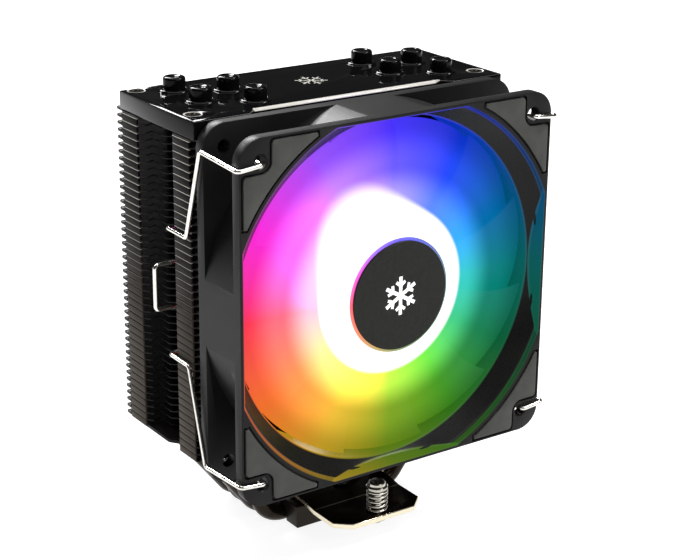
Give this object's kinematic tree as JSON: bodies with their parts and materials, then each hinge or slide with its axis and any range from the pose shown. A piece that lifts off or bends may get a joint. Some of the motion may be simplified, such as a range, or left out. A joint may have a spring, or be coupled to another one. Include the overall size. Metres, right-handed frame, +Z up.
{
  "type": "cpu tower cooler",
  "caption": "Tower heat sink with U-shaped heat pipes through a black fin stack, a gloss cover, a sprung mounting bar and a lit axial fan held on the front by wire clips.",
  "frame": {"origin": "centre of the base's contact face, where it meets the processor", "axes": "+Z up the tower, +Y the way the air blows, from the fan on the front (-Y) through the fins, +X to the right seen from the fan side"},
  "size_m": [0.1292, 0.1001, 0.1551],
  "materials": {
    "black_coat": "satin black electrophoretic coating on aluminium",
    "gloss_black": "high gloss black anodised or lacquered aluminium",
    "pipe_black": "black coated copper tube, given aluminium's density because it is hollow",
    "dark_nickel": "black nickel plated steel, satin",
    "screw_steel": "bright nickel plated steel",
    "wire_steel": "bright spring steel wire",
    "frame_plastic": "dark grey moulded plastic, fine grain",
    "pad_rubber": "dark grey rubber",
    "lit_plastic": "milky translucent plastic lit from the hub",
    "disc_black": "gloss black label disc",
    "motor_steel": "laminated electrical steel",
    "magnet": "bonded ferrite",
    "winding": "enamelled copper wire",
    "sleeve_metal": "sintered bronze",
    "board": "glass fibre circuit board with green mask",
    "led_lens": "clear lens over a white package"
  },
  "bodies": {
    "cooler": {"base_block": "black_coat", "heat_pipe_1": "pipe_black", "heat_pipe_2": "pipe_black", "heat_pipe_3": "pipe_black", "heat_pipe_4": "pipe_black", "fin_stack": "black_coat", "top_cover": "gloss_black", "cover_screw_1": "dark_nickel", "cover_screw_2": "dark_nickel", "cover_screw_3": "dark_nickel", "cover_screw_4": "dark_nickel", "pipe_cap_1": "gloss_black", "pipe_cap_2": "gloss_black", "pipe_cap_3": "gloss_black", "pipe_cap_4": "gloss_black", "pipe_cap_5": "gloss_black", "pipe_cap_6": "gloss_black", "pipe_cap_7": "gloss_black", "pipe_cap_8": "gloss_black", "mounting_bar": "dark_nickel", "bar_screw_1": "dark_nickel", "bar_screw_2": "dark_nickel", "mount_spring_front": "wire_steel", "mount_spring_rear": "wire_steel", "fan_frame": "frame_plastic", "front_pad_1": "pad_rubber", "rear_pad_1": "pad_rubber", "front_pad_2": "pad_rubber", "rear_pad_2": "pad_rubber", "front_pad_3": "pad_rubber", "rear_pad_3": "pad_rubber", "front_pad_4": "pad_rubber", "rear_pad_4": "pad_rubber", "bearing_sleeve": "sleeve_metal", "stator_core": "motor_steel", "stator_coil_1": "winding", "stator_coil_2": "winding", "stator_coil_3": "winding", "stator_coil_4": "winding", "circuit_board": "board", "led_1": "led_lens", "led_2": "led_lens", "led_3": "led_lens", "led_4": "led_lens"},
    "rotor": {"rotor": "lit_plastic", "hub_disc": "disc_black", "rotor_yoke": "motor_steel", "magnet_ring": "magnet", "fan_shaft": "motor_steel", "shaft_clip": "motor_steel"},
    "clip_left": {"wire_clip_left": "wire_steel"},
    "clip_right": {"wire_clip_right": "wire_steel"},
    "retainer_front": {"e_clip_front": "screw_steel"},
    "screw_front": {"mount_screw_front": "screw_steel"},
    "retainer_rear": {"e_clip_rear": "screw_steel"},
    "screw_rear": {"mount_screw_rear": "screw_steel"}
  },
  "joints": [
    {"name": "rotor_spin", "type": "hinge", "parent": "cooler", "child": "rotor", "pos_m": [0, -0.0394, 0.09047], "axis": [0, 1, 0], "continuous": true},
    {"name": "clip_left_swing", "type": "hinge", "parent": "cooler", "child": "clip_left", "pos_m": [-0.0525, -0.0524, 0.09047], "axis": [0, 0, 1], "range_deg": [0, 22]},
    {"name": "clip_right_swing", "type": "hinge", "parent": "cooler", "child": "clip_right", "pos_m": [0.0525, -0.0524, 0.09047], "axis": [0, 0, -1], "range_deg": [0, 22]},
    {"name": "screw_front_press", "type": "slide", "parent": "cooler", "child": "retainer_front", "axis": [0, 0, 1], "range_m": [-0.003, 0], "stiffness_N_per_m": 8000, "deforming": ["mount_spring_front"]},
    {"name": "screw_front_turn", "type": "hinge", "parent": "retainer_front", "child": "screw_front", "pos_m": [0, -0.041, 0.0094], "axis": [0, 0, 1], "continuous": true},
    {"name": "screw_rear_press", "type": "slide", "parent": "cooler", "child": "retainer_rear", "axis": [0, 0, 1], "range_m": [-0.003, 0], "stiffness_N_per_m": 8000, "deforming": ["mount_spring_rear"]},
    {"name": "screw_rear_turn", "type": "hinge", "parent": "retainer_rear", "child": "screw_rear", "pos_m": [0, 0.041, 0.0094], "axis": [0, 0, 1], "continuous": true}
  ]
}
